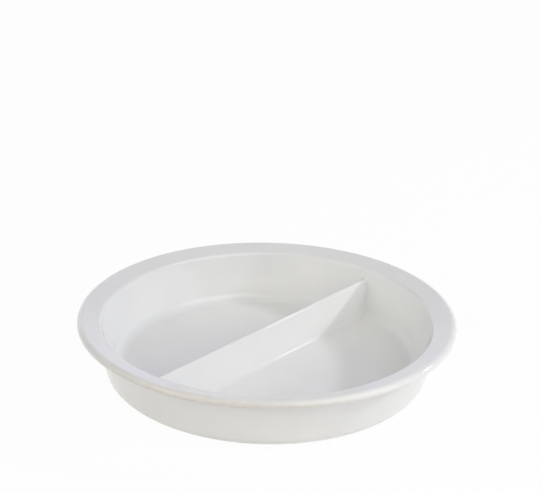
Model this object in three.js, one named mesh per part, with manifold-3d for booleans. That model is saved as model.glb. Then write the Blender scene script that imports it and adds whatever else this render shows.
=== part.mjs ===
// A round divided serving dish in white glazed porcelain, with a broad rim that it can hang by.
// Its five clay parts are luted together with slip, glazed and fired as one.
// Millimetres, +Z up. The origin is the centre of the plane that the dish stands on,
// and the divider runs along X.

import * as THREE from "three";
import { mergeVertices } from "three/addons/utils/BufferGeometryUtils.js";
import Module from "manifold-3d";

// Whole dish
const RIM_DIAMETER = 390;
const DISH_HEIGHT = 66;

// Rim flange: it slopes down towards the well, and its underside is a level seat
const RIM_WIDTH = 23.8; // from the lip's outermost circle in to the mouth of the well
const RIM_SLOPE = THREE.MathUtils.degToRad(16);
const LIP_THICKNESS = 6.5;
const LIP_TOP_ROUND = 5;
const LIP_UNDER_ROUND = 1.5;
const MOUTH_ROUND = 4;
const SEAT_FILLET = 5;
const RIM_SEAM_DROP = 1.2; // from the seat down to the rim's joint with the side wall

// Side wall: both faces lean out by the same draft
const WALL_THICKNESS = 8.8;
const WALL_DRAFT = THREE.MathUtils.degToRad(15);
const WELL_COVE = 12;
const BASE_ROUND = 14.5;

// Floor and the unglazed ring under it
const FLOOR_THICKNESS = 7.5;
const FLOOR_SEAM_RISE = 0.8; // from the top of the cove up to the floor's joint with the wall
const FOOT_HEIGHT = 1.5;
const FOOT_WIDTH = 6;
const FOOT_INSET = 3; // from the start of the base's rounding in to the ring
const FOOT_ROUND = 0.5;

// Divider: a tapering wall with a fully rounded top edge
const DIVIDER_HEIGHT = 42; // above the well's floor
const DIVIDER_EDGE = 5; // across the rounded top edge
const DIVIDER_DRAFT = THREE.MathUtils.degToRad(3);
const DIVIDER_COVE = 3.5; // along its foot
const DIVIDER_END_ROUND = 4.5; // where its faces run into the side wall

// Gap that the slip fills between two luted parts
const SLIP = 0.3;

// Fineness of the turned shapes and of each rounding
const TURN_STEPS = 96;
const ARC_STEPS = 5;
const WIDE_ARC_STEPS = 7;

// Worked out from the sizes above
const rimRadius = RIM_DIAMETER / 2;
const mouthRadius = rimRadius - RIM_WIDTH;
const seatZ = DISH_HEIGHT - LIP_THICKNESS;
const floorZ = FOOT_HEIGHT + FLOOR_THICKNESS;
const lipTopRound = Math.min(LIP_TOP_ROUND, LIP_THICKNESS - LIP_UNDER_ROUND);
const lipCornerZ =
  DISH_HEIGHT - lipTopRound + (lipTopRound * (1 + Math.sin(RIM_SLOPE))) / Math.cos(RIM_SLOPE);
const mouthZ = lipCornerZ - RIM_WIDTH * Math.tan(RIM_SLOPE);
const rimSeamZ = seatZ - RIM_SEAM_DROP;
const coveTopZ = floorZ + WELL_COVE * (1 - Math.sin(WALL_DRAFT));
const floorSeamZ = coveTopZ + FLOOR_SEAM_RISE;

function innerWallRadius(z) {
  return mouthRadius - (mouthZ - z) * Math.tan(WALL_DRAFT);
}

function outerWallRadius(z) {
  return innerWallRadius(z) + WALL_THICKNESS / Math.cos(WALL_DRAFT);
}

// Length of the straight that a rounding takes up between a level face and a drafted wall
function wallTangent(round) {
  return round * Math.tan((Math.PI / 2 - WALL_DRAFT) / 2);
}

const footRadius = outerWallRadius(FOOT_HEIGHT) - wallTangent(BASE_ROUND) - FOOT_INSET;

// Radius of the well's wall when it is moved into the well by a clearance
function wellRadius(z, clearance) {
  return innerWallRadius(z) - clearance / Math.cos(WALL_DRAFT);
}

// Turns a list of corners [across, up, round, steps] into an outline, with an arc at each
// corner that has a round. The arc's radius is kept within the two sides that it joins.
function rounded(corners) {
  const points = [];
  const count = corners.length;
  corners.forEach(([across, up, round = 0, steps = ARC_STEPS], i) => {
    const corner = new THREE.Vector2(across, up);
    if (!round) {
      points.push(corner);
      return;
    }
    const before = new THREE.Vector2(...corners[(i + count - 1) % count].slice(0, 2));
    const after = new THREE.Vector2(...corners[(i + 1) % count].slice(0, 2));
    const toBefore = before.sub(corner);
    const toAfter = after.sub(corner);
    const reach = Math.min(toBefore.length(), toAfter.length());
    toBefore.normalize();
    toAfter.normalize();
    const half = Math.acos(THREE.MathUtils.clamp(toBefore.dot(toAfter), -1, 1)) / 2;
    const radius = Math.min(round, reach * Math.tan(half));
    const bisector = toBefore.clone().add(toAfter).normalize();
    const centre = corner.clone().addScaledVector(bisector, radius / Math.sin(half));
    const start = corner.clone().addScaledVector(toBefore, radius / Math.tan(half)).sub(centre);
    const sweep = (Math.PI - 2 * half) * Math.sign(toAfter.cross(toBefore));
    for (let step = 0; step <= steps; step++) {
      const spoke = start.clone().rotateAround(new THREE.Vector2(), (sweep * step) / steps);
      points.push(centre.clone().add(spoke));
    }
  });
  return points;
}

// A solid of revolution about Z from an outline in the plane of radius and height
function turned(points, closed = true) {
  const outline = closed ? [...points, points[0].clone()] : points;
  return new THREE.LatheGeometry(outline, TURN_STEPS).rotateX(Math.PI / 2);
}

// Joining and cutting of closed solids
const wasm = await Module();
wasm.setup();

function toSolid(geometry) {
  const bare = geometry.clone();
  bare.deleteAttribute("normal");
  bare.deleteAttribute("uv");
  const merged = mergeVertices(bare, 1e-4);
  return new wasm.Manifold(
    new wasm.Mesh({
      numProp: 3,
      vertProperties: merged.attributes.position.array,
      triVerts: new Uint32Array(merged.index.array),
    }),
  );
}

function toGeometry(solid) {
  const mesh = solid.getMesh();
  const geometry = new THREE.BufferGeometry();
  geometry.setAttribute("position", new THREE.BufferAttribute(mesh.vertProperties, mesh.numProp));
  geometry.setIndex(new THREE.BufferAttribute(mesh.triVerts, 1));
  geometry.computeVertexNormals();
  return geometry;
}

const glaze = { color: 0xe6e5e3, roughness: 0.12, metalness: 0 };
const bisque = { color: 0xe0d9cc, roughness: 0.85, metalness: 0 };

function part(name, geometry, finish) {
  const mesh = new THREE.Mesh(geometry, new THREE.MeshStandardMaterial(finish));
  mesh.name = name;
  return mesh;
}

// Floor, side wall and rim in one
function pan() {
  const outline = rounded([
    [0, FOOT_HEIGHT],
    [outerWallRadius(FOOT_HEIGHT), FOOT_HEIGHT, BASE_ROUND, WIDE_ARC_STEPS],
    [outerWallRadius(seatZ), seatZ, SEAT_FILLET],
    [rimRadius, seatZ, LIP_UNDER_ROUND],
    [rimRadius, lipCornerZ, lipTopRound, WIDE_ARC_STEPS],
    [mouthRadius, mouthZ, MOUTH_ROUND],
    [innerWallRadius(floorZ), floorZ, WELL_COVE, WIDE_ARC_STEPS],
    [0, floorZ],
  ]);
  return toSolid(turned(outline, false));
}

// What the pan has between two heights
function panSlice(low, high) {
  const reach = RIM_DIAMETER;
  const outline = [
    new THREE.Vector2(0, low),
    new THREE.Vector2(reach, low),
    new THREE.Vector2(reach, high),
    new THREE.Vector2(0, high),
  ];
  return toGeometry(pan().intersect(toSolid(turned(outline, false))));
}

// Floor with the well's cove inside and the rounded base corner outside
function baseFloor() {
  return part("base_floor", panSlice(0, floorSeamZ - SLIP / 2), glaze);
}

// Plain drafted wall between floor and rim
function sideWall() {
  return part("side_wall", panSlice(floorSeamZ + SLIP / 2, rimSeamZ - SLIP / 2), glaze);
}

// Broad flange with a rounded lip, a softened mouth and a level seat underneath
function rimFlange() {
  return part("rim_flange", panSlice(rimSeamZ + SLIP / 2, 2 * DISH_HEIGHT), glaze);
}

// Unglazed ring that the dish stands on
function footRing() {
  const outer = footRadius;
  const inner = outer - FOOT_WIDTH;
  const top = FOOT_HEIGHT - SLIP;
  const outline = rounded([
    [inner, 0, FOOT_ROUND, 2],
    [outer, 0, FOOT_ROUND, 2],
    [outer, top],
    [inner, top],
  ]);
  return part("foot_ring", turned(outline), bisque);
}

// The space inside the dish that a divider can fill, up to above the lip
function wellSpace(clearance) {
  const low = floorZ + clearance;
  const high = DISH_HEIGHT + DIVIDER_HEIGHT;
  const outline = rounded([
    [0, low],
    [wellRadius(low, clearance), low, WELL_COVE - clearance, WIDE_ARC_STEPS],
    [wellRadius(mouthZ, clearance), mouthZ],
    [wellRadius(mouthZ, clearance), high],
    [0, high],
  ]);
  return toSolid(turned(outline, false));
}

// Half the divider's thickness at a height, where its face is straight
function dividerHalf(z) {
  const edgeCentreZ = floorZ + DIVIDER_HEIGHT - DIVIDER_EDGE / 2;
  return (
    (DIVIDER_EDGE / 2 + (edgeCentreZ - z) * Math.sin(DIVIDER_DRAFT)) / Math.cos(DIVIDER_DRAFT)
  );
}

// Long bar with the divider's section: coved foot, tapering faces and a half-round top
function dividerBar() {
  const edge = DIVIDER_EDGE / 2;
  const edgeCentreZ = floorZ + DIVIDER_HEIGHT - edge;
  const foot = dividerHalf(floorZ);
  const toe = foot + DIVIDER_COVE;
  const below = floorZ - DIVIDER_COVE;
  const right = rounded([
    [toe, below],
    [toe, floorZ],
    [foot, floorZ, DIVIDER_COVE],
    [edge * Math.cos(DIVIDER_DRAFT), edgeCentreZ + edge * Math.sin(DIVIDER_DRAFT)],
  ]);
  const crest = new THREE.EllipseCurve(
    0, edgeCentreZ, edge, edge, DIVIDER_DRAFT, Math.PI - DIVIDER_DRAFT,
  ).getPoints(2 * ARC_STEPS);
  const left = right.map((point) => new THREE.Vector2(-point.x, point.y)).reverse();
  const section = new THREE.Shape([...right, ...crest.slice(1, -1), ...left]);
  const bar = new THREE.ExtrudeGeometry(section, { depth: 2 * rimRadius, bevelEnabled: false });
  bar.translate(0, 0, -rimRadius);
  bar.rotateX(Math.PI / 2);
  bar.rotateZ(Math.PI / 2);
  return toSolid(bar);
}

// Fishtail at one end of the divider, whose hollow sides run into the side wall.
// It is sheared outwards as it rises, because the wall leans out.
function dividerEnd(side) {
  const edge = DIVIDER_EDGE / 2;
  const rise = DIVIDER_HEIGHT - edge;
  const middleZ = floorZ + rise / 2;
  const wall = innerWallRadius(middleZ);
  const away = edge + DIVIDER_END_ROUND;
  const along = Math.sqrt((wall - DIVIDER_END_ROUND) ** 2 - away ** 2);
  const turn = Math.atan2(away, along);
  const outer = wall + WALL_THICKNESS;
  const tail = new THREE.Shape();
  tail.moveTo(along, edge);
  tail.absarc(along, away, DIVIDER_END_ROUND, -Math.PI / 2, turn, false);
  tail.lineTo(outer, outer * Math.tan(turn));
  tail.lineTo(outer, -outer * Math.tan(turn));
  tail.absarc(along, -away, DIVIDER_END_ROUND, -turn, Math.PI / 2, false);
  tail.closePath();
  const lean = Math.tan(WALL_DRAFT);
  const end = new THREE.ExtrudeGeometry(tail, {
    depth: rise,
    bevelEnabled: false,
    curveSegments: ARC_STEPS,
  });
  end.applyMatrix4(new THREE.Matrix4().makeShear(0, 0, 0, 0, lean, 0));
  end.translate((-rise / 2) * lean, 0, floorZ);
  if (side < 0) {
    end.rotateZ(Math.PI);
  }
  return toSolid(end);
}

function dividerWall() {
  const solid = dividerBar()
    .add(dividerEnd(1))
    .add(dividerEnd(-1))
    .intersect(wellSpace(SLIP));
  return part("divider_wall", toGeometry(solid), glaze);
}

const dish = new THREE.Group();
dish.add(footRing(), baseFloor(), sideWall(), rimFlange(), dividerWall());

export default dish;
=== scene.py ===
"""A round divided serving dish in white glazed porcelain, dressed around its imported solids.

Lengths are in metres. The dish stands on z = 0, its wells open towards +Z, and its divider
runs along X. One glazed skin covers the floor, wall, rim and divider, so each piece ends in
the very points and normals that its neighbour starts with. The four quarters of the dish are
alike, so the skin is worked out for the one towards +X and +Y and mirrored into the others.
"""

import math

import bmesh
import bpy
import numpy as np
from mathutils import Matrix, Vector


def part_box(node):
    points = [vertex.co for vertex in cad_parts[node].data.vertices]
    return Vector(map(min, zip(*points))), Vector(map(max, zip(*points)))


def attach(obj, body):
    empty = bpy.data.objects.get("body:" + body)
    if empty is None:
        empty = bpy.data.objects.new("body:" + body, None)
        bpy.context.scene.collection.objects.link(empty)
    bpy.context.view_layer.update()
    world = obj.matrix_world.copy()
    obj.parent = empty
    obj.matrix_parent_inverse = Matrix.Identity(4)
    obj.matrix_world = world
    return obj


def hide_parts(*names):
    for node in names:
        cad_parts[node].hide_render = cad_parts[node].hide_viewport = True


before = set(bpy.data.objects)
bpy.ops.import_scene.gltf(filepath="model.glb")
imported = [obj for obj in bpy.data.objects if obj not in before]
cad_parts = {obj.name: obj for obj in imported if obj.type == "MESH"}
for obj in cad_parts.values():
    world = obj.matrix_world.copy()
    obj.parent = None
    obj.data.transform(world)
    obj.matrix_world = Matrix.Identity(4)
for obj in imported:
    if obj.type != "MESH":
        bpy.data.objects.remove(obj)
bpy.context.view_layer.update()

MM = 0.001

# Sizes of the dish's section, the same as in the solids
RIM_WIDTH = 23.8 * MM  # from the lip's outermost circle in to the mouth of the well
RIM_SLOPE = math.radians(16)
LIP_THICKNESS = 6.5 * MM
LIP_TOP_ROUND = 5 * MM
LIP_UNDER_ROUND = 1.5 * MM
MOUTH_ROUND = 4 * MM
SEAT_FILLET = 5 * MM
WALL_THICKNESS = 8.8 * MM
WALL_DRAFT = math.radians(15)
WELL_COVE = 12 * MM
BASE_ROUND = 14.5 * MM
FLOOR_THICKNESS = 7.5 * MM
FOOT_WIDTH = 6 * MM

# Sizes of the divider, and of the ball that rounds its joint with the pan
DIVIDER_EDGE = 5 * MM  # thickness at the crest, its half-round top edge
DIVIDER_DRAFT = math.radians(3)
DIVIDER_COVE = 3.5 * MM  # the ball's radius
CREST_FADE = 8 * MM  # below the crest's top, where the glaze stops filling the joint

# Foot ring: how its sides flare into the underside, and its ground edges
FOOT_FLARE = 0.9 * MM
FOOT_FLARE_ROUND = 0.8 * MM
FOOT_EDGE_ROUND = 0.5 * MM

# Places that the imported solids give
rim_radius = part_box("rim_flange")[1].x
rim_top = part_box("rim_flange")[1].z
rim_seam_z = (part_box("side_wall")[1].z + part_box("rim_flange")[0].z) / 2
floor_seam_z = (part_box("base_floor")[1].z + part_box("side_wall")[0].z) / 2
underside_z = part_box("base_floor")[0].z
floor_z = underside_z + FLOOR_THICKNESS
divider_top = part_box("divider_wall")[1].z
foot_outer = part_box("foot_ring")[1].x

# Places worked out from them. A corner is where two faces would meet without their rounding.
mouth_radius = rim_radius - RIM_WIDTH
seat_z = rim_top - LIP_THICKNESS
lip_corner_z = rim_top - LIP_TOP_ROUND
lip_corner_z += LIP_TOP_ROUND * (1 + math.sin(RIM_SLOPE)) / math.cos(RIM_SLOPE)
mouth_z = lip_corner_z - RIM_WIDTH * math.tan(RIM_SLOPE)
crest_radius = DIVIDER_EDGE / 2
crest_centre_z = divider_top - crest_radius
cove_centre_z = floor_z + WELL_COVE
cove_turn = math.pi / 2 - WALL_DRAFT  # angle from the level floor up to the drafted wall


def inner_radius(z):
    """Radius of the wall's inside at a height"""
    return mouth_radius - (mouth_z - z) * math.tan(WALL_DRAFT)


def outer_radius(z):
    """Radius of the wall's outside at a height"""
    return inner_radius(z) + WALL_THICKNESS / math.cos(WALL_DRAFT)


def wall_tangent(round_radius):
    """Length that a rounding takes up between a level face and the drafted wall"""
    return round_radius * math.tan(cove_turn / 2)


cove_centre_radius = inner_radius(floor_z) - wall_tangent(WELL_COVE)
underside_radius = outer_radius(underside_z) - wall_tangent(BASE_ROUND)

# How the glaze ran before it was fired, which also places painted shade: 1 where it left an edge
# thin and the edge is painted warmer and darker, -1 where it filled a cove and 0 on an even
# stretch. A rounding has three values: at its start, its middle and its end.
LIP_TOP_FLOW_AND_SHADE = (0, 0.35, 1)
LIP_UNDER_FLOW_AND_SHADE = (1, 0.7, 0)
EVEN_FLOW = (0, 0, 0)
COVE_FLOW = (0, -1, 0)
CREST_FLOW_AND_SHADE = 1.0  # at the divider's very top, where the thin glaze and its painted shade are strongest
START_MIDDLE_END = (0, 0.5, 1)

# How finely each stretch is divided
WELL_COLUMNS = 120  # round a quarter of a well
STRIP_COLUMNS = 4  # across half of the divider's footprint
FLOOR_ROWS = 6
UNDERSIDE_ROWS = 8
COVE_ROWS = 12
FACE_ROWS = 14
CREST_ROWS = 12
FILLET_ROWS = 14
ARC_ROWS = 12

UP = (0.0, 0.0, 1.0)


# Sections. A sample is [radius, height, normal's radial part, normal's height part, flow with
# its painted shade], and the samples of a section run along the skin with the air on their left.


def even_sample(radius, height, normal_r, normal_z):
    """A sample where the glaze stayed even"""
    return [radius, height, normal_r, normal_z, 0.0]


def rounded(corners):
    """Samples along a run of corners (radius, height, round, flows with their painted shade), with
    an arc at each round
    """
    samples = []
    points = [np.array(corner[:2], float) for corner in corners]
    for i, corner in enumerate(corners):
        into = points[i] - points[i - 1] if i else points[1] - points[0]
        out = points[i + 1] - points[i] if i + 1 < len(corners) else into
        into = into / np.linalg.norm(into)
        out = out / np.linalg.norm(out)
        left = np.array([-into[1], into[0]])
        if len(corner) == 2:
            samples.append(even_sample(*points[i], *left))
            continue
        round_radius, flows_and_shade = corner[2:]
        turn = math.atan2(into[0] * out[1] - into[1] * out[0], into @ out)
        side = math.copysign(1, turn)
        start = points[i] - into * round_radius * math.tan(abs(turn) / 2)
        centre = start + left * round_radius * side
        for share in np.linspace(0, 1, ARC_ROWS + 1):
            c, s = math.cos(turn * share), math.sin(turn * share)
            normal = np.array([c * left[0] - s * left[1], s * left[0] + c * left[1]])
            flow = np.interp(share, START_MIDDLE_END, flows_and_shade)
            samples.append([*(centre - normal * round_radius * side), *normal, flow])
    return np.array(samples)


# Patches. A patch is a grid of points with their normals and their flows with painted shade, in
# rows and columns.


def lathe(samples, angles):
    """Patch of skin turned about Z: angles is one row of columns, or one row per sample"""
    samples = np.asarray(samples, float)
    angles = np.broadcast_to(angles, (len(samples), np.shape(angles)[-1]))
    radius, height, normal_r, normal_z, flow = samples.T[:, :, None]
    c, s = np.cos(angles), np.sin(angles)
    points = np.stack([radius * c, radius * s, height + 0 * c], -1)
    normals = np.stack([normal_r * c, normal_r * s, normal_z + 0 * c], -1)
    return points, normals, flow + 0 * c


def level_patch(x, y, z):
    """Patch of a level face that faces up; the three are brought to one grid"""
    points = np.stack(np.broadcast_arrays(x, y, z), -1)
    return points, np.broadcast_to(UP, points.shape), np.zeros(points.shape[:2])


def turned_over(patch):
    """The same patch, seen from the piece on its other side"""
    points, normals, flow = patch
    return points, -normals, flow


# The divider's joint with the pan, which is the floor, its cove and the wall. A ball rolls along
# the floor with one side on the divider and the other on the pan, up the wall and over the
# crest. The places that it touches are the fillet's edges.


def divider_half(z):
    """Half the divider's thickness at a height, where its face is straight"""
    slope = (crest_centre_z - z) * math.sin(DIVIDER_DRAFT)
    return (crest_radius + slope) / math.cos(DIVIDER_DRAFT)


def divider_section():
    """Samples (across, up, normal across, normal up) from the foot of a face to the crest"""
    tilt_across, tilt_up = math.cos(DIVIDER_DRAFT), math.sin(DIVIDER_DRAFT)
    lean = np.linspace(0, cove_turn, COVE_ROWS + 1)
    foot = cove_centre_z - (WELL_COVE - DIVIDER_COVE) * np.cos(lean) - DIVIDER_COVE * tilt_up
    seam = floor_seam_z + DIVIDER_COVE * (math.sin(WALL_DRAFT) - tilt_up)
    face_top = crest_centre_z + crest_radius * tilt_up
    heights = np.concatenate([foot, np.linspace(seam, face_top, FACE_ROWS)])
    face = [(divider_half(z), z, tilt_across, tilt_up) for z in heights]
    turns = np.linspace(DIVIDER_DRAFT, math.pi / 2, CREST_ROWS + 1)[1:]
    across, up = np.cos(turns), np.sin(turns)
    crest = np.stack([crest_radius * across, crest_centre_z + crest_radius * up, across, up], -1)
    return np.vstack([face, crest])


def well_seat(height):
    """Where the ball's centre rests in the well: its distance from the axis, and the radial
    part and the height part of the pan's normal where it touches"""
    reach = WELL_COVE - DIVIDER_COVE
    drop = (cove_centre_z - height) / reach
    if drop > math.sin(WALL_DRAFT):
        lean = math.acos(min(drop, 1.0))
        return cove_centre_radius + reach * math.sin(lean), -math.sin(lean), math.cos(lean)
    radius = inner_radius(height) - DIVIDER_COVE / math.cos(WALL_DRAFT)
    return radius, -math.cos(WALL_DRAFT), math.sin(WALL_DRAFT)


section = divider_section()
seam_level = COVE_ROWS + 1  # the sample beside which the ball touches the floor's seam

# The ball's centre beside each sample of the section: the last is right over the crest
centre_y = section[:, 0] + DIVIDER_COVE * section[:, 2]
centre_y[-1] = 0
centre_z = section[:, 1] + DIVIDER_COVE * section[:, 3]
centre_radius, pan_normal_r, pan_normal_z = np.array([well_seat(z) for z in centre_z]).T
centre_x = np.sqrt(centre_radius**2 - centre_y**2)

# The circles of the pan on which the ball touches it, and how far round it does so
touch_angles = np.arctan2(centre_y, centre_x)
cove_fill = -np.sin(np.linspace(0, math.pi, seam_level))
well_levels = np.stack(
    [
        centre_radius - DIVIDER_COVE * pan_normal_r,
        centre_z - DIVIDER_COVE * pan_normal_z,
        pan_normal_r,
        pan_normal_z,
        np.pad(cove_fill, (0, len(section) - seam_level)),
    ],
    -1,
)


def with_level(samples, height):
    """Adds a sample at a height on the way down to the underside, and tells its place"""
    place = np.flatnonzero(samples[:, 1] > height)[-1] + 1
    above, below = samples[place - 1], samples[place]
    share = (above[1] - height) / (above[1] - below[1])
    return np.insert(samples, place, above + (below - above) * share, 0), place


def over_the_rim():
    """Samples from the rim's inner seam over the lip to the underside, and where among them
    the outer seams of the rim and of the floor lie"""
    heel = outer_radius(underside_z)
    samples = rounded([
        (inner_radius(rim_seam_z), rim_seam_z),
        (mouth_radius, mouth_z, MOUTH_ROUND, EVEN_FLOW),
        (rim_radius, lip_corner_z, LIP_TOP_ROUND, LIP_TOP_FLOW_AND_SHADE),
        (rim_radius, seat_z, LIP_UNDER_ROUND, LIP_UNDER_FLOW_AND_SHADE),
        (outer_radius(seat_z), seat_z, SEAT_FILLET, COVE_FLOW),
        (heel, underside_z, BASE_ROUND, EVEN_FLOW),
        (0, underside_z),
    ])[:-1]
    samples, under_rim = with_level(samples, rim_seam_z)
    samples, above_base = with_level(samples, floor_seam_z)
    return samples, under_rim, above_base


outside, under_rim, above_base = over_the_rim()

# Columns round a quarter of the dish, from the divider at +X to the middle of the well at +Y.
# On each level, the well's columns start where the ball touches, and the strip's end there.
well_share = np.linspace(0, 1, WELL_COLUMNS + 1)
strip_share = np.linspace(0, 1, STRIP_COLUMNS + 1)
ring_angles = well_share * math.pi / 2
well_angles = touch_angles[:, None] + (math.pi / 2 - touch_angles[:, None]) * well_share
strip_angles = touch_angles[:, None] * strip_share

# The divider's foot on the floor, from the cove to the middle
toe_y = centre_y[0]
foot_x = cove_centre_radius * np.cos(well_angles[0])


def floor_top():
    """The well's flat floor between the divider's toe and the cove"""
    share = np.linspace(0, 1, FLOOR_ROWS + 1)[:, None]
    cove_y = cove_centre_radius * np.sin(well_angles[0])
    return level_patch(foot_x, toe_y + (cove_y - toe_y) * share, floor_z)


def floor_strip():
    """The part of the flat floor that the divider stands on"""
    y = cove_centre_radius * np.sin(strip_angles[0])[:, None]
    cove_x = np.sqrt(cove_centre_radius**2 - y**2)
    return level_patch(foot_x * cove_x / foot_x[0], y, floor_z)


def cove():
    """The well's cove from the flat floor up to the floor's seam"""
    return lathe(well_levels[: seam_level + 1], well_angles[: seam_level + 1])


def cove_strip():
    """The part of the cove that the divider's end meets"""
    return lathe(well_levels[: seam_level + 1], strip_angles[: seam_level + 1])


def floor_seam_face(side):
    """Level joint between floor and wall; side is 1 for the floor's and -1 for the wall's"""
    inner = even_sample(inner_radius(floor_seam_z), floor_seam_z, 0, side)
    outer = even_sample(outside[above_base, 0], floor_seam_z, 0, side)
    inner_angles = np.concatenate([strip_angles[seam_level, :-1], well_angles[seam_level]])
    outer_angles = np.concatenate([np.zeros(STRIP_COLUMNS), ring_angles])
    return lathe([inner, outer], [inner_angles, outer_angles])


def base_outside():
    """The outside from the floor's seam round the base to the flat underside"""
    return lathe(outside[above_base:], ring_angles)


def underside():
    """The flat underside, from the base's rounding to the middle"""
    radii = underside_radius * np.linspace(1, 0, UNDERSIDE_ROWS + 1)
    return lathe([even_sample(radius, underside_z, 0, -1) for radius in radii], ring_angles)


def well_wall():
    """The wall of a well, from the floor's seam up to the rim's seam"""
    normal = (-math.cos(WALL_DRAFT), math.sin(WALL_DRAFT))
    seam = even_sample(inner_radius(rim_seam_z), rim_seam_z, *normal)
    angles = np.vstack([well_angles[seam_level:], ring_angles])
    return lathe(np.vstack([well_levels[seam_level:], seam]), angles)


def wall_strip():
    """The part of the wall that the divider's end meets"""
    return lathe(well_levels[seam_level:], strip_angles[seam_level:])


def rim_seam_face(side):
    """Level joint between wall and rim; side is 1 for the wall's top and -1 for the rim's"""
    radii = (inner_radius(rim_seam_z), outside[under_rim, 0])
    return lathe([even_sample(radius, rim_seam_z, 0, side) for radius in radii], ring_angles)


def outer_wall():
    """The outside of the wall between the two seams"""
    return lathe(outside[under_rim : above_base + 1], ring_angles)


def rim_skin():
    """The rim from its inner seam over the mouth, flange, lip and seat to its outer seam"""
    return lathe(outside[: under_rim + 1], ring_angles)


def divider_skin():
    """One face of the divider and its half of the crest, between the fillets' edges. Each
    column keeps its share of the way out from the middle"""
    x = centre_x[:, None] * foot_x / foot_x[0]
    across, up, normal_y, normal_z = section.T[:, :, None] + 0 * x
    flow = np.zeros(x.shape)
    # The crest's thin glaze with painted shade, rising towards its top
    flow[-CREST_ROWS:] = CREST_FLOW_AND_SHADE * np.linspace(0, 1, CREST_ROWS + 1)[1:, None] ** 2
    return np.stack([x, across, up], -1), np.stack([0 * x, normal_y, normal_z], -1), flow


def divider_fillet():
    """What the ball sweeps: from the middle of the foot out to the wall, and over the crest.
    At each place of its centre it leaves an arc, from the divider's face to the pan"""
    along = len(foot_x) - 1
    on_floor = np.broadcast_to((toe_y, centre_z[0]), (along, 2))
    centres = np.vstack([
        np.column_stack([foot_x[:0:-1], on_floor]),
        np.column_stack([centre_x, centre_y, centre_z]),
    ])
    faces = np.vstack([np.repeat(section[:1], along, 0), section])
    to_divider = -np.column_stack([np.zeros(len(faces)), faces[:, 2:]])
    wall_x = pan_normal_r * np.cos(touch_angles)
    wall_y = pan_normal_r * np.sin(touch_angles)
    to_pan = -np.vstack([np.repeat([UP], along, 0), np.stack([wall_x, wall_y, pan_normal_z], -1)])

    angle = np.arccos(np.clip((to_divider * to_pan).sum(1), -1, 1))[:, None, None]
    share = np.linspace(0, 1, FILLET_ROWS + 1)[:, None]
    spokes = np.sin((1 - share) * angle) * to_divider[:, None]
    spokes = (spokes + np.sin(share * angle) * to_pan[:, None]) / np.sin(angle)
    fade = np.clip((divider_top - centres[:, 2]) / CREST_FADE, 0, 1)[:, None]
    flow = -fade * np.sin(math.pi * share[:, 0])
    return centres[:, None] + DIVIDER_COVE * spokes, -spokes, flow


def foot_skin():
    """The ring's sides and the ground face that the dish stands on"""
    inner = foot_outer - FOOT_WIDTH
    corners = [
        (foot_outer + FOOT_FLARE, underside_z),
        (foot_outer, underside_z - FOOT_FLARE, FOOT_FLARE_ROUND, EVEN_FLOW),
        (foot_outer, 0, FOOT_EDGE_ROUND, EVEN_FLOW),
        (inner, 0, FOOT_EDGE_ROUND, EVEN_FLOW),
        (inner, underside_z - FOOT_FLARE, FOOT_FLARE_ROUND, EVEN_FLOW),
        (inner - FOOT_FLARE, underside_z),
    ]
    return lathe(rounded(corners), ring_angles)


def foot_top():
    """The ring's joint with the underside"""
    radii = (foot_outer - FOOT_WIDTH - FOOT_FLARE, foot_outer + FOOT_FLARE)
    return lathe([even_sample(radius, underside_z, 0, 1) for radius in radii], ring_angles)


# Meshes

MIRRORS = ((1, 1, 1), (-1, 1, 1), (1, -1, 1), (-1, -1, 1))  # the four quarters
WELD = 0.001 * MM  # within which two points become one
PLACES = 9  # decimals of a metre that a point keeps
NO_AREA = 1e-15  # square metres, below which a cell is only a line


def quads(rows):
    """Corners of each cell of a grid of rows"""
    corners = np.stack([rows[:-1, :-1], rows[1:, :-1], rows[1:, 1:], rows[:-1, 1:]], 2)
    return corners.reshape(-1, 4, *rows.shape[2:])


def facing_out(corners, normals, flows_and_shade):
    """Drops cells without area, and turns the others so that they face as their normals do"""
    area = np.cross(corners[:, 2] - corners[:, 0], corners[:, 3] - corners[:, 1])
    turn = (area * normals.mean(1)).sum(1) < 0
    for values in (corners, normals, flows_and_shade):
        values[turn] = values[turn][:, ::-1]
    kept = np.linalg.norm(area, axis=1) > NO_AREA
    return corners[kept], normals[kept], flows_and_shade[kept]


def skin_mesh(name, patches):
    """A closed mesh with the skin's own normals, from its patches in one quarter"""
    cells = [
        facing_out(quads(points * mirror), quads(normals * mirror), quads(flow))
        for points, normals, flow in patches
        for mirror in MIRRORS
    ]
    corners, normals, flows_and_shade = (np.concatenate(part) for part in zip(*cells))
    points = corners.reshape(-1, 3).round(PLACES)
    mesh = bpy.data.meshes.new(name)
    mesh.from_pydata(points, [], np.arange(len(points)).reshape(-1, 4))
    mesh.attributes.new("flow", "FLOAT", "POINT").data.foreach_set("value", flows_and_shade.ravel())
    skin_normals = mesh.attributes.new("skin_normal", "FLOAT_VECTOR", "CORNER")
    skin_normals.data.foreach_set("vector", normals.ravel())

    welded = bmesh.new()
    welded.from_mesh(mesh)
    bmesh.ops.remove_doubles(welded, verts=welded.verts, dist=WELD)
    welded.to_mesh(mesh)
    welded.free()

    mesh.shade_smooth()
    directions = np.zeros((len(mesh.loops), 3))
    mesh.attributes["skin_normal"].data.foreach_get("vector", directions.ravel())
    mesh.normals_split_custom_set(directions)
    mesh.attributes.remove(mesh.attributes["skin_normal"])
    return mesh


def add_object(name, data):
    """A new object of the scene"""
    added = bpy.data.objects.new(name, data)
    bpy.context.scene.collection.objects.link(added)
    return added


def build(name, node, material, patches):
    """A piece that stands for a solid"""
    mesh = skin_mesh(name, patches)
    mesh.materials.append(material)
    piece = add_object(name, mesh)
    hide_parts(node)
    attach(piece, "root")


# Materials


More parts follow.
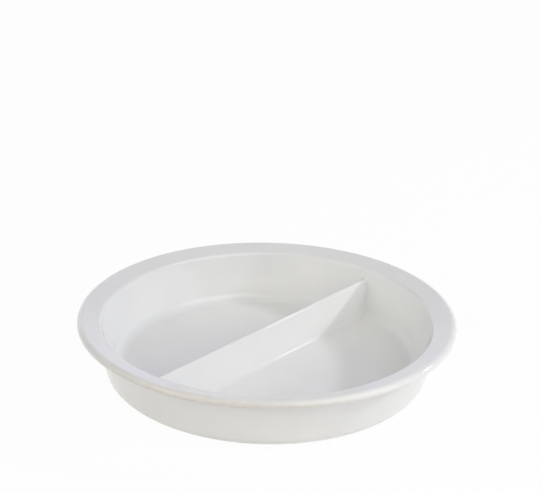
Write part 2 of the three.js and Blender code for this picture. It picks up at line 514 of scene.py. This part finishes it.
class Nodes:
    """A short way to write a node tree: inputs takes values and the sockets to link from"""

    def __init__(self, tree):
        self.tree = tree
        tree.nodes.clear()

    def new(self, kind, inputs=None, **settings):
        """A node with its settings made and its inputs set or linked"""
        node = self.tree.nodes.new("ShaderNode" + kind)
        for key, value in settings.items():
            setattr(node, key, value)
        for name, value in (inputs or {}).items():
            if isinstance(value, bpy.types.NodeSocket):
                self.tree.links.new(value, node.inputs[name])
            else:
                node.inputs[name].default_value = value
        return node

    def math(self, operation, *values):
        """Result of a Math node"""
        return self.new("Math", dict(enumerate(values)), operation=operation).outputs[0]

    def total(self, *terms):
        """Sum of (value, factor) pairs"""
        result = 0.0
        for value, factor in terms:
            result = self.math("MULTIPLY_ADD", value, factor, result)
        return result

    def ramp(self, value, low, high):
        """0 at low, 1 at high, and held beyond them"""
        return self.new("MapRange", {"Value": value, "From Min": low, "From Max": high}).outputs[0]

    def between(self, share, low, high):
        """low where share is 0, and high where it is 1"""
        return self.math("MULTIPLY_ADD", share, high - low, low)

    def blend(self, share, first, second):
        """The first colour where share is 0, and the second where it is 1"""
        return self.new("MixRGB", {"Fac": share, "Color1": first, "Color2": second}).outputs[0]

    def noise(self, place, size, detail=2.0):
        """Smooth random values about 0.5 whose patches are about as wide as size"""
        inputs = {"Vector": place, "Scale": 1 / size, "Detail": detail}
        return self.new("TexNoise", inputs).outputs[0]

    def along(self, place, direction):
        """How far a place lies in a direction"""
        inputs = {0: place, 1: direction}
        return self.new("VectorMath", inputs, operation="DOT_PRODUCT").outputs["Value"]

    def radius(self, place):
        """Distance from the dish's axis"""
        level = self.new("VectorMath", {0: place, 1: (1, 1, 0)}, operation="MULTIPLY")
        return self.new("VectorMath", {0: level.outputs[0]}, operation="LENGTH").outputs["Value"]

    def surface(self, colour, roughness, height):
        """Ends a material with its shader; height is what its bumps rise, in metres"""
        bump = self.new("Bump", {"Height": height, "Distance": 1.0}).outputs[0]
        inputs = {"Base Color": colour, "Roughness": roughness, "Normal": bump}
        shader = self.new("BsdfPrincipled", inputs)
        self.new("OutputMaterial", {"Surface": shader.outputs[0]})


def new_nodes(name):
    """A new material and its node tree"""
    material = bpy.data.materials.new(name)
    material.use_nodes = True
    return material, Nodes(material.node_tree)


# A range holds the noise values at which a pattern starts and is in full

# Glaze: white and a little uneven in tone. Its surface waves faintly and has a fine peel.
GLAZE_COLOUR = (0.86, 0.86, 0.855, 1)
GLAZE_SHADE = (0.835, 0.835, 0.83, 1)
GLAZE_ROUGHNESS = 0.05
CLOUD_WIDTH = 60 * MM
CLOUD_RANGE = (0.35, 0.65)
STREAK_WIDTH = 7.5 * MM
STREAK_RANGE = (0.3, 0.7)
STREAK_ROUGHNESS = 0.03  # added where a streak is in full
WAVE_WIDTH = 70 * MM
WAVE_HEIGHT = 0.05 * MM
PEEL_WIDTH = 2.2 * MM
PEEL_HEIGHT = 0.0012 * MM

# It is cooler where it pools in a cove
POOLED_COLOUR = (0.855, 0.862, 0.865, 1)
POOLED_SHARE = 0.8

# It is warmer and darker where it runs thin over an edge: partly the thin glaze, and partly
# painted warm shade on the lip and the crest. The painted shade is strongest towards the camera's
# side of the dish, a little to its left.
THIN_AND_SHADE_COLOUR = (0.66, 0.62, 0.56, 1)
THIN_ROUGHNESS = 0.02  # added where it is thinnest
THIN_AND_SHADE_OFF_STREAKS = 0.65  # how much a thin edge and its painted shade show where there is no streak
AWAY_FROM_WARM_SHADE = 0.2  # how much it shows away from the side where the painted shade is strongest
# The side of the dish where the thin edges carry the most painted warm shade, and how far out
# along it that starts and is in full
WARM_SHADE_SIDE = (-0.903, -0.43, 0)
WARM_SHADE_STARTS = 135 * MM  # out towards that side
WARM_SHADE_IN_FULL = 185 * MM

# It has a few pinholes
PINHOLE_SPACING = 11 * MM
PINHOLE_RADIUS = 0.25 * MM
PINHOLE_DEPTH = 0.03 * MM
PINHOLE_SHARE = 0.3  # of the places where one could be
PINHOLE_COLOUR = (0.62, 0.58, 0.52, 1)
PINHOLE_ROUGHNESS = 0.4  # added at its middle


def pinholes(nodes, place):
    """1 at the middle of each pinhole and 0 outside it"""
    cells = nodes.new("TexVoronoi", {"Vector": place, "Scale": 1 / PINHOLE_SPACING})
    chance = nodes.new("SeparateColor", {0: cells.outputs["Color"]}).outputs[0]
    present = nodes.math("LESS_THAN", chance, PINHOLE_SHARE)
    reach = PINHOLE_RADIUS / PINHOLE_SPACING
    return nodes.math("MULTIPLY", nodes.ramp(cells.outputs["Distance"], reach, 0), present)


def thin_and_warm_shade(nodes, place, thin_and_shade, streak):
    """How much a thin edge and its painted warm shade show: most in the streaks and towards the
    side where the painted shade is strongest
    """
    # Painted warm shade: stronger towards the camera's side of the dish
    warm_shade_side_share = nodes.ramp(nodes.along(place, WARM_SHADE_SIDE), WARM_SHADE_STARTS, WARM_SHADE_IN_FULL)
    streaked = nodes.math("MULTIPLY", thin_and_shade, nodes.between(streak, THIN_AND_SHADE_OFF_STREAKS, 1.0))
    return nodes.math("MULTIPLY", streaked, nodes.between(warm_shade_side_share, AWAY_FROM_WARM_SHADE, 1.0))


def glaze_material():
    """The glaze of the floor, wall, rim and divider"""
    material, nodes = new_nodes("glaze")
    place = nodes.new("TexCoord").outputs["Object"]
    flow = nodes.new("Attribute", attribute_name="flow").outputs["Fac"]
    cloud = nodes.ramp(nodes.noise(place, CLOUD_WIDTH, detail=4.0), *CLOUD_RANGE)
    streak = nodes.ramp(nodes.noise(place, STREAK_WIDTH, detail=3.0), *STREAK_RANGE)
    waves = nodes.noise(place, WAVE_WIDTH, detail=0.0)
    peel = nodes.noise(place, PEEL_WIDTH, detail=1.0)
    thin_and_shade = nodes.ramp(flow, 0, 1)
    pooled = nodes.math("MULTIPLY", nodes.ramp(flow, 0, -1), POOLED_SHARE)
    hole = pinholes(nodes, place)

    colour = nodes.blend(cloud, GLAZE_COLOUR, GLAZE_SHADE)
    colour = nodes.blend(pooled, colour, POOLED_COLOUR)
    # The thin edges' warmer, darker colour: partly thin glaze, partly painted warm shade
    colour = nodes.blend(thin_and_warm_shade(nodes, place, thin_and_shade, streak), colour, THIN_AND_SHADE_COLOUR)
    colour = nodes.blend(hole, colour, PINHOLE_COLOUR)
    roughness = nodes.total(
        (streak, STREAK_ROUGHNESS), (thin_and_shade, THIN_ROUGHNESS), (hole, PINHOLE_ROUGHNESS),
        (GLAZE_ROUGHNESS, 1.0),
    )
    height = nodes.total((waves, WAVE_HEIGHT), (peel, PEEL_HEIGHT), (hole, -PINHOLE_DEPTH))
    nodes.surface(colour, roughness, height)
    return material


# Bisque: bare fired clay, sandy and matt, with rings where its face was ground level
BISQUE_COLOUR = (0.74, 0.69, 0.6, 1)
BISQUE_SHADE = (0.6, 0.54, 0.45, 1)
BISQUE_ROUGHNESS = 0.85
SAND_WIDTH = 0.4 * MM
SAND_HEIGHT = 0.06 * MM
BISQUE_PATCH = 18 * MM
BISQUE_PATCH_RANGE = (0.35, 0.7)
SHADE_FROM_SAND = 0.6  # the rest of the shade comes from the patches
BISQUE_SHADE_RANGE = (0.3, 0.75)
GRINDING_PITCH = 0.5 * MM
GRINDING_DEPTH = 0.01 * MM
GRINDING_WANDER = 5.0  # radians that the rings shift by in a patch
GLAZE_EDGE_WIDTH = 0.5 * MM  # over which the glaze thins out above the bare ring
GLAZE_EDGE_WAVE = 6 * MM  # width of the waves in its edge


def bisque_material():
    """The foot ring's clay, which the glaze covers where the ring meets the underside"""
    material, nodes = new_nodes("bisque")
    place = nodes.new("TexCoord").outputs["Object"]
    sand = nodes.noise(place, SAND_WIDTH, detail=3.0)
    patch = nodes.ramp(nodes.noise(place, BISQUE_PATCH, detail=4.0), *BISQUE_PATCH_RANGE)
    turns = nodes.math("MULTIPLY", nodes.radius(place), 2 * math.pi / GRINDING_PITCH)
    rings = nodes.math("SINE", nodes.total((patch, GRINDING_WANDER), (turns, 1.0)))
    edge_wave = nodes.noise(place, GLAZE_EDGE_WAVE)
    edge = nodes.total((nodes.along(place, UP), 1.0), (edge_wave, GLAZE_EDGE_WIDTH))
    top = underside_z - FOOT_FLARE / 2
    glazed = nodes.ramp(edge, top, top + GLAZE_EDGE_WIDTH)

    shade = nodes.total((sand, SHADE_FROM_SAND), (patch, 1 - SHADE_FROM_SAND))
    colour = nodes.blend(nodes.ramp(shade, *BISQUE_SHADE_RANGE), BISQUE_COLOUR, BISQUE_SHADE)
    colour = nodes.blend(glazed, colour, GLAZE_COLOUR)
    roughness = nodes.between(glazed, BISQUE_ROUGHNESS, GLAZE_ROUGHNESS)
    grain = nodes.total((sand, SAND_HEIGHT), (rings, GRINDING_DEPTH))
    height = nodes.math("MULTIPLY", grain, nodes.between(glazed, 1.0, 0.0))
    nodes.surface(colour, roughness, height)
    return material


# Camera: the photograph's view, with the dish below the middle of the frame
CAMERA_AZIMUTH = math.radians(-49.55)
CAMERA_ELEVATION = math.radians(22.24)
CAMERA_ROLL = math.radians(1.2)
CAMERA_PLACE = Vector((-0.9977, -0.8523, 0.6765))
FRAME_WIDTH = 540  # pixels, as in the photograph
FOCAL_LENGTH = 1400  # in the same pixels
SENSOR_WIDTH = 36  # millimetres, in which Blender takes a lens too


def make_camera():
    """The camera of the main picture"""
    data = bpy.data.cameras.new("camera")
    data.sensor_fit = "HORIZONTAL"
    data.sensor_width = SENSOR_WIDTH
    data.lens = FOCAL_LENGTH / FRAME_WIDTH * SENSOR_WIDTH
    camera = add_object("camera", data)
    turn = Matrix.Rotation(CAMERA_AZIMUTH, 4, "Z")
    tilt = Matrix.Rotation(math.pi / 2 - CAMERA_ELEVATION, 4, "X")
    roll = Matrix.Rotation(CAMERA_ROLL, 4, "Z")
    camera.matrix_world = Matrix.Translation(CAMERA_PLACE) @ turn @ tilt @ roll
    bpy.context.scene.camera = camera


# Stage: a pale floor that glows by itself where it is looked at, so that it shows as white
TABLE_SIZE = 400.0
TABLE_GAP = 0.1 * MM  # between the floor and the foot ring
TABLE_COLOUR = (0.88, 0.87, 0.85, 1)
TABLE_GLOW = 0.96  # share of its whiteness that doesn't come from the lights
WHITE = (1, 1, 1, 1)


def table_material():
    """A pale matt floor that glows only towards the camera and in reflections"""
    material, nodes = new_nodes("table")
    ray = nodes.new("LightPath").outputs
    seen = nodes.math("MAXIMUM", ray["Is Camera Ray"], ray["Is Glossy Ray"])
    seen = nodes.math("MAXIMUM", seen, ray["Is Transmission Ray"])
    share = nodes.math("MULTIPLY", seen, TABLE_GLOW)
    diffuse = nodes.new("BsdfDiffuse", {"Color": TABLE_COLOUR}).outputs[0]
    glow = nodes.new("Emission", {"Color": WHITE, "Strength": 1.0}).outputs[0]
    mix = nodes.new("MixShader", {0: share, 1: diffuse, 2: glow})
    nodes.new("OutputMaterial", {"Surface": mix.outputs[0]})
    return material


def make_table():
    """The floor that the dish stands on"""
    half = TABLE_SIZE / 2
    mesh = bpy.data.meshes.new("table")
    corners = [(-half, -half), (half, -half), (half, half), (-half, half)]
    mesh.from_pydata([(x, y, -TABLE_GAP) for x, y in corners], [], [(0, 1, 2, 3)])
    mesh.materials.append(table_material())
    add_object("table", mesh)


# Light. A bearing of 0 is the camera's side, 90 its right and 180 behind the dish. Bearings
# and elevations are in degrees, and powers in watts.
KEY_BEARING = 100.4
KEY_COLOUR = (0.915, 0.94, 1)
SOFT_BOXES = {
    "key": {
        "bearing": KEY_BEARING, "elevation": 27.3, "distance": 3.0,
        "width": 0.24, "height": 0.24, "power": 26.6, "colour": KEY_COLOUR,
    },
    "right": {
        "bearing": 46, "elevation": 36, "distance": 1.6,
        "width": 1.8, "height": 1.4, "power": 13.2, "colour": (1, 0.987, 0.94),
    },
    "left": {
        "bearing": -58, "elevation": 27, "distance": 1.6,
        "width": 2.3, "height": 1.1, "power": 5.2, "colour": (1, 0.86, 0.72),
    },
}
NOT_MIRRORED = "key"  # lights the dish, but the glaze doesn't show it

# What the glaze shows in the key's place: a dimmer lamp with a snoot, whose beam falls on the
# near side of the dish only
GLINT_FOOT = Vector((0.03, -0.004, 0.01))  # at the divider's foot; the lamp is set out from it
GLINT_ELEVATION = 26.8
GLINT_DISTANCE = 1.0
GLINT_RADIUS = 0.05
GLINT_POWER = 2.2
GLINT_BEAM = math.radians(17.2)
GLINT_BEAM_EDGE = 0.1  # how soft, as a share of the beam
GLINT_AIM = Vector((-0.025, -0.075, 0.03))

# Large soft patches of the room: bearing, elevation, tightness, and colour times strength
ROOM_PATCHES = (
    (300, 25, 14, (1.68, 1.78, 1.62)),
    (20, 70, 7, (0.45, 0.41, 0.30)),
    (160, 10, 14, (0.90, 0.86, 0.94)),
    (205, 10, 14, (1.26, 1.24, 1.45)),
)
ROOM_COLOUR = (0.118, 0.132, 0.182)


def away_from_dish(bearing, elevation):
    """Direction from the dish towards a light"""
    heading = CAMERA_AZIMUTH + math.radians(bearing)
    rise = math.radians(elevation)
    level = math.cos(rise)
    return Vector((math.sin(heading) * level, -math.cos(heading) * level, math.sin(rise)))


def hang(lamp, place, target):
    """Puts a lamp at a place and turns it towards a target"""
    facing = (place - target).to_track_quat("Z", "Y").to_matrix().to_4x4()
    lamp.matrix_world = Matrix.Translation(place) @ facing


def make_soft_box(name, bearing, elevation, distance, width, height, power, colour):
    """A flat lamp that faces the dish"""
    data = bpy.data.lights.new(name, "AREA")
    data.shape = "RECTANGLE"
    data.size = width
    data.size_y = height
    data.energy = power
    data.color = colour
    box = add_object(name, data)
    hang(box, away_from_dish(bearing, elevation) * distance, Vector())
    box.visible_glossy = name != NOT_MIRRORED


def make_glint():
    """The snooted lamp: the glaze mirrors it, and no surface is lit by it otherwise"""
    data = bpy.data.lights.new("glint", "SPOT")
    data.shadow_soft_size = GLINT_RADIUS
    data.energy = GLINT_POWER
    data.color = KEY_COLOUR
    data.spot_size = GLINT_BEAM
    data.spot_blend = GLINT_BEAM_EDGE
    lamp = add_object("glint", data)
    away = away_from_dish(KEY_BEARING, GLINT_ELEVATION)
    hang(lamp, GLINT_FOOT + away * GLINT_DISTANCE, GLINT_AIM)
    lamp.visible_diffuse = False


def make_world():
    """The room: dim, with each large light as a soft patch of it"""
    world = bpy.data.worlds.new("world")
    bpy.context.scene.world = world
    world.use_nodes = True
    nodes = Nodes(world.node_tree)
    direction = nodes.new("TexCoord").outputs["Generated"]
    light = ROOM_COLOUR
    for bearing, elevation, tightness, colour in ROOM_PATCHES:
        facing = nodes.along(direction, away_from_dish(bearing, elevation))
        share = nodes.math("EXPONENT", nodes.total((facing, tightness), (tightness, -1.0)))
        patch = {0: share, 1: colour, 2: light}
        light = nodes.new("VectorMath", patch, operation="MULTIPLY_ADD").outputs["Vector"]
    background = nodes.new("Background", {"Color": light, "Strength": 1.0})
    nodes.new("OutputWorld", {"Surface": background.outputs[0]})


make_camera()
make_table()
make_world()
for name, settings in SOFT_BOXES.items():
    make_soft_box(name, **settings)
make_glint()

bpy.context.scene.view_settings.view_transform = "Standard"

glaze = glaze_material()
bisque = bisque_material()

build("floor", "base_floor", glaze, [
    floor_top(), floor_strip(), cove(), cove_strip(), floor_seam_face(1), base_outside(),
    underside(),
])
build("wall", "side_wall", glaze, [
    well_wall(), wall_strip(), rim_seam_face(1), outer_wall(), floor_seam_face(-1),
])
build("rim", "rim_flange", glaze, [rim_skin(), rim_seam_face(-1)])
build("divider", "divider_wall", glaze, [
    divider_skin(), divider_fillet(), turned_over(floor_strip()), turned_over(cove_strip()),
    turned_over(wall_strip()),
])
build("foot", "foot_ring", bisque, [foot_skin(), foot_top()])
